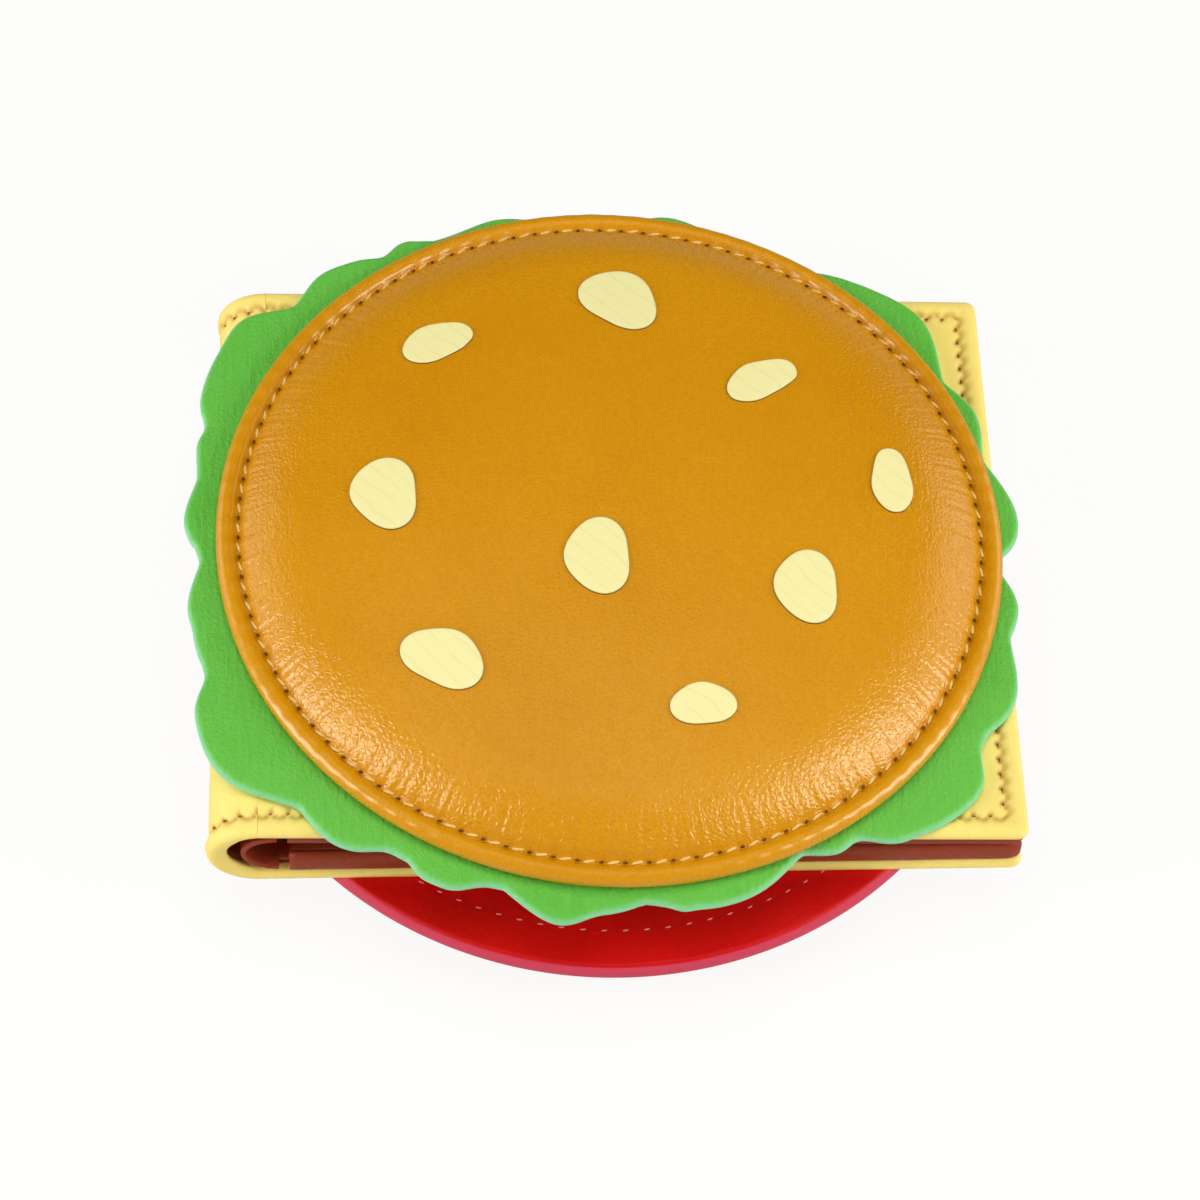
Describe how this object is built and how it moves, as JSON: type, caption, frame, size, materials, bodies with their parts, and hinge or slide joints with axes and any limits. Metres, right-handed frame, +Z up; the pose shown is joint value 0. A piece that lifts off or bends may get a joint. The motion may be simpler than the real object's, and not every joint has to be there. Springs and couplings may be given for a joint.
{
  "type": "novelty bifold wallet",
  "caption": "Bifold wallet in soft leather made up as a hamburger, with padded bun covers, a ruffled leaf, a tomato disc, a note pocket and stepped card pockets; opens flat.",
  "frame": {"origin": "on the resting face of the lower bun, under the middle of the closed wallet", "axes": "+X from the spine to the open edge, +Y from the near edge to the far edge, +Z up"},
  "size_m": [0.1219, 0.121, 0.0367],
  "materials": {
    "bun_leather": "satin",
    "seed_film": "matte",
    "lettuce_leather": "satin",
    "cheese_leather": "satin",
    "brown_lining": "satin",
    "tomato_leather": "satin",
    "foam": "matte",
    "card": "matte"
  },
  "bodies": {
    "back_half": {"back_cover": "cheese_leather", "back_board": "card", "back_lining": "brown_lining", "back_note_wall": "brown_lining", "back_card_pocket_1": "brown_lining", "back_card_pocket_2": "brown_lining", "back_card_pocket_3": "brown_lining", "back_card_pocket_4": "brown_lining", "back_binding": "brown_lining", "tomato_slice": "tomato_leather", "bun_bottom_skin": "bun_leather", "bun_bottom_foam": "foam", "bun_bottom_backing": "card"},
    "spine": {"spine_cover": "cheese_leather", "spine_lining": "brown_lining", "spine_note_wall": "brown_lining"},
    "front_half": {"front_cover": "cheese_leather", "front_board": "card", "front_lining": "brown_lining", "front_note_wall": "brown_lining", "front_slip_pocket": "brown_lining", "front_binding": "brown_lining", "lettuce_leaf": "lettuce_leather", "bun_top_skin": "bun_leather", "bun_top_foam": "foam", "bun_top_backing": "card", "sesame_seeds": "seed_film"}
  },
  "joints": [
    {"name": "back_crease", "type": "hinge", "parent": "back_half", "child": "spine", "pos_m": [-0.0558, 0, 0.0133], "axis": [0, -1, 0], "range_deg": [0, 90]},
    {"name": "front_crease", "type": "hinge", "parent": "spine", "child": "front_half", "pos_m": [-0.0558, 0, 0.0233], "axis": [0, -1, 0], "range_deg": [0, 90]}
  ],
  "couplings": [
    {"joint": "front_crease", "follows": "back_crease", "ratio": 1}
  ]
}
